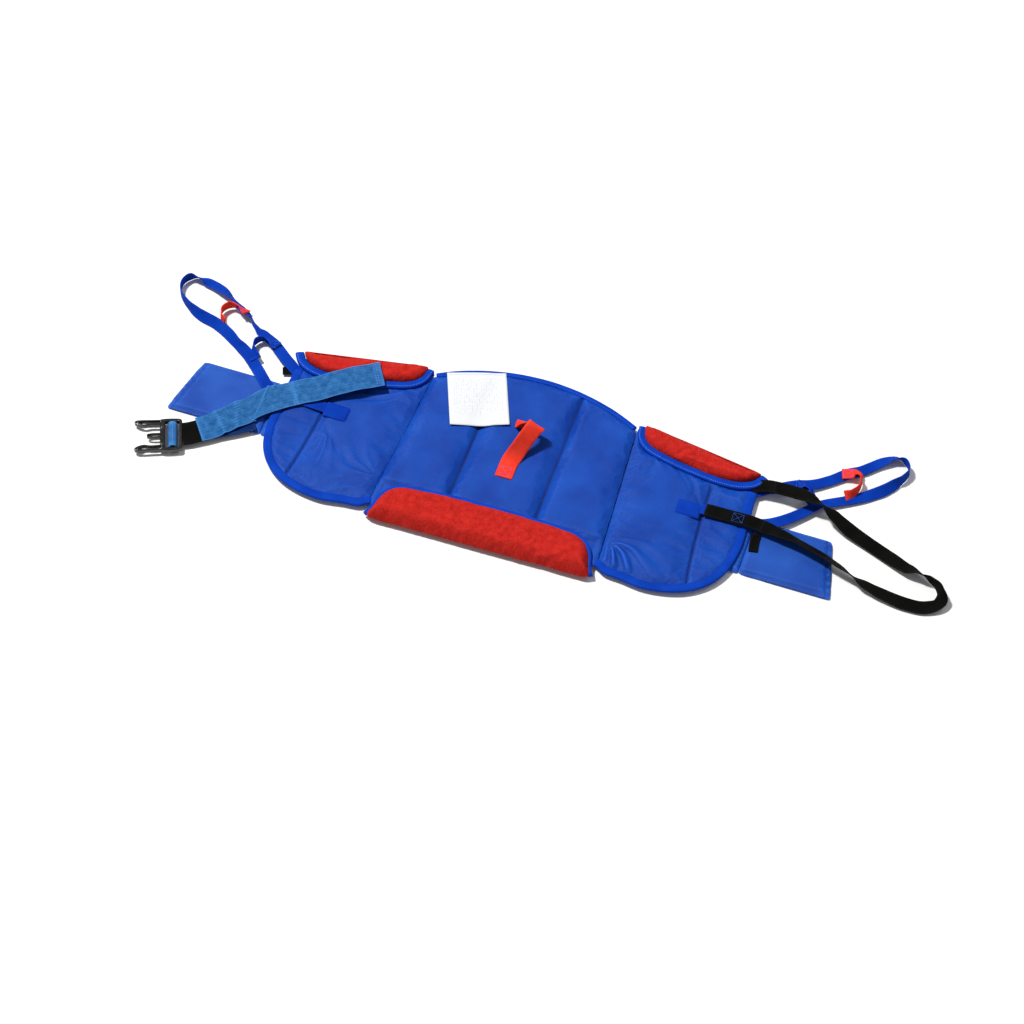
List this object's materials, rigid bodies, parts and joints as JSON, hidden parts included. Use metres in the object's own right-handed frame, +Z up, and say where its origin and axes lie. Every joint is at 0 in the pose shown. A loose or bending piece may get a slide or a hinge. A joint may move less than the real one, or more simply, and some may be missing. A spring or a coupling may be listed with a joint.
{
  "type": "padded transfer belt",
  "caption": "Padded back panel with folding side wings, fleece pads, under-belt, webbing lifting loops, waist strap with a side-release buckle half and a carry handle.",
  "frame": {"origin": "on the floor under the middle of the back panel, as the belt lies open with its outer side up", "axes": "+X along the belt towards the black loop, +Y towards the arched upper edge, +Z up"},
  "size_m": [1.4183, 0.4023, 0.0673],
  "materials": {
    "quilted_nylon": "royal blue nylon with a soft sheen over foam",
    "lining": "plain blue lining cloth",
    "foam": "soft open-cell foam",
    "binding": "saturated blue binding tape, matt",
    "fleece": "short red fleece, matt",
    "blue_webbing": "woven blue webbing",
    "steel_blue_webbing": "soft loop-faced steel-blue webbing with lengthwise ribs",
    "black_webbing": "woven black webbing",
    "red_webbing": "woven red webbing",
    "label_cloth": "white satin care label, blank",
    "buckle_plastic": "moulded black acetal"
  },
  "bodies": {
    "back_panel": {"back_lining": "lining", "back_cover": "quilted_nylon", "foam_insert_left": "foam", "foam_insert_middle": "foam", "foam_insert_right": "foam", "arch_binding": "binding", "roll_cover": "fleece", "roll_core": "foam", "belt_centre": "quilted_nylon", "handle_foot_near": "red_webbing", "handle_foot_far": "red_webbing", "label_hem": "label_cloth"},
    "left_wing": {"left_wing_lining": "lining", "left_wing_cover": "quilted_nylon", "left_wing_padding": "foam", "left_wing_binding": "binding", "left_pad_cover": "fleece", "left_pad_core": "foam", "left_pad_binding": "binding", "left_patch": "binding", "left_loop_anchor": "blue_webbing", "left_belt_section": "quilted_nylon", "waist_crossing": "steel_blue_webbing", "left_black_tab": "black_webbing"},
    "right_wing": {"right_wing_lining": "lining", "right_wing_cover": "quilted_nylon", "right_wing_padding": "foam", "right_wing_binding": "binding", "right_pad_cover": "fleece", "right_pad_core": "foam", "right_pad_binding": "binding", "right_patch": "binding", "right_loop_anchor": "blue_webbing", "black_loop_anchor": "black_webbing", "right_belt_section": "quilted_nylon", "black_tab": "black_webbing"},
    "left_lifting_strap": {"left_lifting_loop": "blue_webbing", "left_short_rung": "blue_webbing", "left_red_rung": "red_webbing"},
    "right_lifting_strap": {"right_lifting_loop": "blue_webbing", "right_short_rung": "blue_webbing", "right_red_rung": "red_webbing"},
    "black_strap": {"black_loop": "black_webbing"},
    "waist_strap": {"waist_lead": "steel_blue_webbing", "waist_underlay": "black_webbing", "buckle_webbing": "black_webbing"},
    "waist_strap_tail": {"waist_tail": "steel_blue_webbing"},
    "buckle": {"buckle_frame": "buckle_plastic", "buckle_wrap": "blue_webbing", "buckle_guide": "buckle_plastic"},
    "prong_far": {"buckle_prong_far": "buckle_plastic"},
    "prong_near": {"buckle_prong_near": "buckle_plastic"},
    "left_flap": {"left_belt_end": "quilted_nylon", "left_belt_hem": "binding"},
    "right_flap": {"right_belt_end": "quilted_nylon", "right_belt_hem": "binding"},
    "handle": {"handle_arch": "red_webbing"},
    "label": {"care_label": "label_cloth"}
  },
  "joints": [
    {"name": "left_wing_fold", "type": "hinge", "parent": "back_panel", "child": "left_wing", "pos_m": [-0.179, 0.137, 0.011], "axis": [0.0672, 0.9977, 0], "range_deg": [-60, 60]},
    {"name": "right_wing_fold", "type": "hinge", "parent": "back_panel", "child": "right_wing", "pos_m": [0.179, 0.137, 0.011], "axis": [0.0672, -0.9977, 0], "range_deg": [-60, 60]},
    {"name": "left_lifting_strap_swing", "type": "hinge", "parent": "left_wing", "child": "left_lifting_strap", "pos_m": [-0.42, 0.04, 0.0215], "axis": [0, 1, 0], "range_deg": [0, 60]},
    {"name": "right_lifting_strap_swing", "type": "hinge", "parent": "right_wing", "child": "right_lifting_strap", "pos_m": [0.42, 0.04, 0.0215], "axis": [0, -1, 0], "range_deg": [0, 60]},
    {"name": "black_strap_swing", "type": "hinge", "parent": "right_lifting_strap", "child": "black_strap", "pos_m": [0.42, 0.04, 0.0215], "axis": [0, -1, 0], "range_deg": [0, 35]},
    {"name": "waist_strap_swing", "type": "hinge", "parent": "left_lifting_strap", "child": "waist_strap", "pos_m": [-0.42, -0.01, 0.0215], "axis": [0, 1, 0], "range_deg": [0, 50]},
    {"name": "waist_tail_peel", "type": "hinge", "parent": "left_wing", "child": "waist_strap_tail", "pos_m": [-0.3875, 0.0082, 0.0225], "axis": [0.5593, -0.829, 0], "range_deg": [0, 80]},
    {"name": "buckle_tilt", "type": "hinge", "parent": "waist_strap", "child": "buckle", "pos_m": [-0.546, -0.127, 0.009], "axis": [-0.3584, 0.9336, 0], "range_deg": [0, 45]},
    {"name": "prong_far_squeeze", "type": "hinge", "parent": "buckle", "child": "prong_far", "pos_m": [-0.58437, -0.11495, 0.009], "axis": [0, 0, 1], "range_deg": [0, 5], "stiffness_Nm_per_rad": 0.5},
    {"name": "prong_near_squeeze", "type": "hinge", "parent": "buckle", "child": "prong_near", "pos_m": [-0.56645, -0.16163, 0.009], "axis": [0, 0, 1], "range_deg": [-5, 0], "stiffness_Nm_per_rad": 0.5},
    {"name": "left_flap_drop", "type": "hinge", "parent": "left_wing", "child": "left_flap", "pos_m": [-0.42, -0.022, 0], "axis": [0, 1, 0], "range_deg": [-60, 0]},
    {"name": "right_flap_drop", "type": "hinge", "parent": "right_wing", "child": "right_flap", "pos_m": [0.42, -0.038, 0], "axis": [0, -1, 0], "range_deg": [-60, 0]},
    {"name": "handle_lean", "type": "hinge", "parent": "back_panel", "child": "handle", "pos_m": [0, 0.015, 0.024], "axis": [0, 1, 0], "range_deg": [-70, 10]},
    {"name": "label_lift", "type": "hinge", "parent": "back_panel", "child": "label", "pos_m": [-0.10933, 0.14048, 0.021], "axis": [-0.9511, -0.309, 0], "range_deg": [0, 150]}
  ],
  "couplings": [
    {"joint": "prong_near_squeeze", "follows": "prong_far_squeeze", "ratio": -1}
  ]
}
